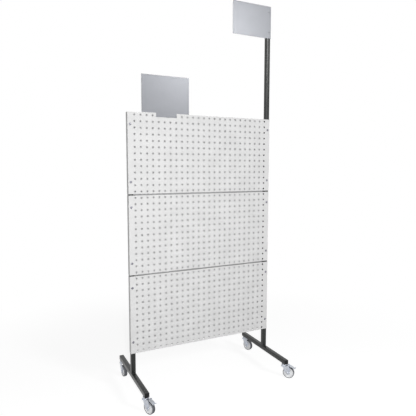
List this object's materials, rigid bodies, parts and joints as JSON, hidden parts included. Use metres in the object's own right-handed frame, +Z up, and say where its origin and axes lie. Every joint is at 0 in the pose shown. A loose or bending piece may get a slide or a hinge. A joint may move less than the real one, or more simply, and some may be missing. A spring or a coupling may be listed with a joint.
{
  "type": "rolling perforated partition",
  "caption": "Free-standing perforated board on a castored tube frame, with a sign clipped over its top edge and a second sign at the head of a tall mast.",
  "frame": {"origin": "on the floor under the middle of the box round the whole partition, which the turned front wheels put a little to the right of and in front of the board's middle", "axes": "+Z up; the board faces -Y, its closed back faces +Y, and the mast stands at the +X end"},
  "size_m": [1.0454, 0.6118, 2.469],
  "materials": {
    "panel_paint": "light grey powder coat, fine satin texture",
    "back_paint": "light grey powder coat, satin",
    "frame_paint": "dark grey powder coat, satin",
    "sign_paint": "cool light grey coat, smooth",
    "zinc": "bright zinc plate",
    "black_plastic": "moulded, matt",
    "white_plastic": "moulded, satin",
    "grey_rubber": "moulded thermoplastic rubber, matt"
  },
  "bodies": {
    "frame": {"left_upright": "frame_paint", "right_upright_mast": "frame_paint", "left_upright_cap": "black_plastic", "mast_cap": "black_plastic", "left_foot": "frame_paint", "left_foot_front_cap": "black_plastic", "left_foot_rear_cap": "black_plastic", "right_foot": "frame_paint", "right_foot_front_cap": "black_plastic", "right_foot_rear_cap": "black_plastic", "upper_panel": "panel_paint", "middle_panel": "panel_paint", "lower_panel": "panel_paint", "back_sheet": "back_paint", "upper_panel_left_bolt_1": "zinc", "upper_panel_left_bolt_2": "zinc", "middle_panel_left_bolt_1": "zinc", "middle_panel_left_bolt_2": "zinc", "lower_panel_left_bolt_1": "zinc", "lower_panel_left_bolt_2": "zinc", "back_left_screw_1": "zinc", "back_left_screw_2": "zinc", "back_left_screw_3": "zinc", "upper_panel_right_bolt_1": "zinc", "upper_panel_right_bolt_2": "zinc", "middle_panel_right_bolt_1": "zinc", "middle_panel_right_bolt_2": "zinc", "lower_panel_right_bolt_1": "zinc", "lower_panel_right_bolt_2": "zinc", "back_right_screw_1": "zinc", "back_right_screw_2": "zinc", "back_right_screw_3": "zinc", "mast_sign": "sign_paint", "mast_sign_screw_1": "sign_paint", "mast_sign_screw_2": "sign_paint", "front_left_castor_stem": "zinc", "front_right_castor_stem": "zinc", "rear_right_castor_stem": "zinc", "rear_left_castor_stem": "zinc"},
    "header_sign": {"header_sign": "sign_paint", "header_sign_clip": "sign_paint"},
    "front_left_fork": {"front_left_fork": "zinc", "front_left_axle": "zinc"},
    "front_left_wheel": {"front_left_wheel_core": "white_plastic", "front_left_tyre": "grey_rubber"},
    "front_left_brake_pedal": {"front_left_brake_pedal": "zinc"},
    "front_right_fork": {"front_right_fork": "zinc", "front_right_axle": "zinc"},
    "front_right_wheel": {"front_right_wheel_core": "white_plastic", "front_right_tyre": "grey_rubber"},
    "front_right_brake_pedal": {"front_right_brake_pedal": "zinc"},
    "rear_right_fork": {"rear_right_fork": "zinc", "rear_right_axle": "zinc"},
    "rear_right_wheel": {"rear_right_wheel_core": "white_plastic", "rear_right_tyre": "grey_rubber"},
    "rear_left_fork": {"rear_left_fork": "zinc", "rear_left_axle": "zinc"},
    "rear_left_wheel": {"rear_left_wheel_core": "white_plastic", "rear_left_tyre": "grey_rubber"}
  },
  "joints": [
    {"name": "header_sign_slide", "type": "slide", "parent": "frame", "child": "header_sign", "axis": [1, 0, 0], "range_m": [-0.086, 0.602]},
    {"name": "front_left_swivel", "type": "hinge", "parent": "frame", "child": "front_left_fork", "pos_m": [-0.50123, -0.22915, 0.086], "axis": [0, 0, 1], "continuous": true},
    {"name": "front_left_wheel_spin", "type": "hinge", "parent": "front_left_fork", "child": "front_left_wheel", "pos_m": [-0.48856, -0.25634, 0.0375], "axis": [0.9063, 0.4226, 0], "continuous": true},
    {"name": "front_left_brake_press", "type": "hinge", "parent": "front_left_fork", "child": "front_left_brake_pedal", "pos_m": [-0.48856, -0.25634, 0.083], "axis": [0.9063, 0.4226, 0], "range_deg": [0, 10]},
    {"name": "front_right_swivel", "type": "hinge", "parent": "frame", "child": "front_right_fork", "pos_m": [0.46316, -0.22915, 0.086], "axis": [0, 0, 1], "continuous": true},
    {"name": "front_right_wheel_spin", "type": "hinge", "parent": "front_right_fork", "child": "front_right_wheel", "pos_m": [0.48245, -0.25213, 0.0375], "axis": [0.766, 0.6428, 0], "continuous": true},
    {"name": "front_right_brake_press", "type": "hinge", "parent": "front_right_fork", "child": "front_right_brake_pedal", "pos_m": [0.48245, -0.25213, 0.083], "axis": [0.766, 0.6428, 0], "range_deg": [0, 10]},
    {"name": "rear_right_swivel", "type": "hinge", "parent": "frame", "child": "rear_right_fork", "pos_m": [0.46316, 0.28085, 0.086], "axis": [0, 0, 1], "continuous": true},
    {"name": "rear_right_wheel_spin", "type": "hinge", "parent": "rear_right_fork", "child": "rear_right_wheel", "pos_m": [0.47194, 0.25216, 0.0375], "axis": [0.9563, 0.2924, 0], "continuous": true},
    {"name": "rear_left_swivel", "type": "hinge", "parent": "frame", "child": "rear_left_fork", "pos_m": [-0.50123, 0.28085, 0.086], "axis": [0, 0, 1], "continuous": true},
    {"name": "rear_left_wheel_spin", "type": "hinge", "parent": "rear_left_fork", "child": "rear_left_wheel", "pos_m": [-0.49914, 0.25092, 0.0375], "axis": [0.9976, 0.0698, 0], "continuous": true}
  ]
}
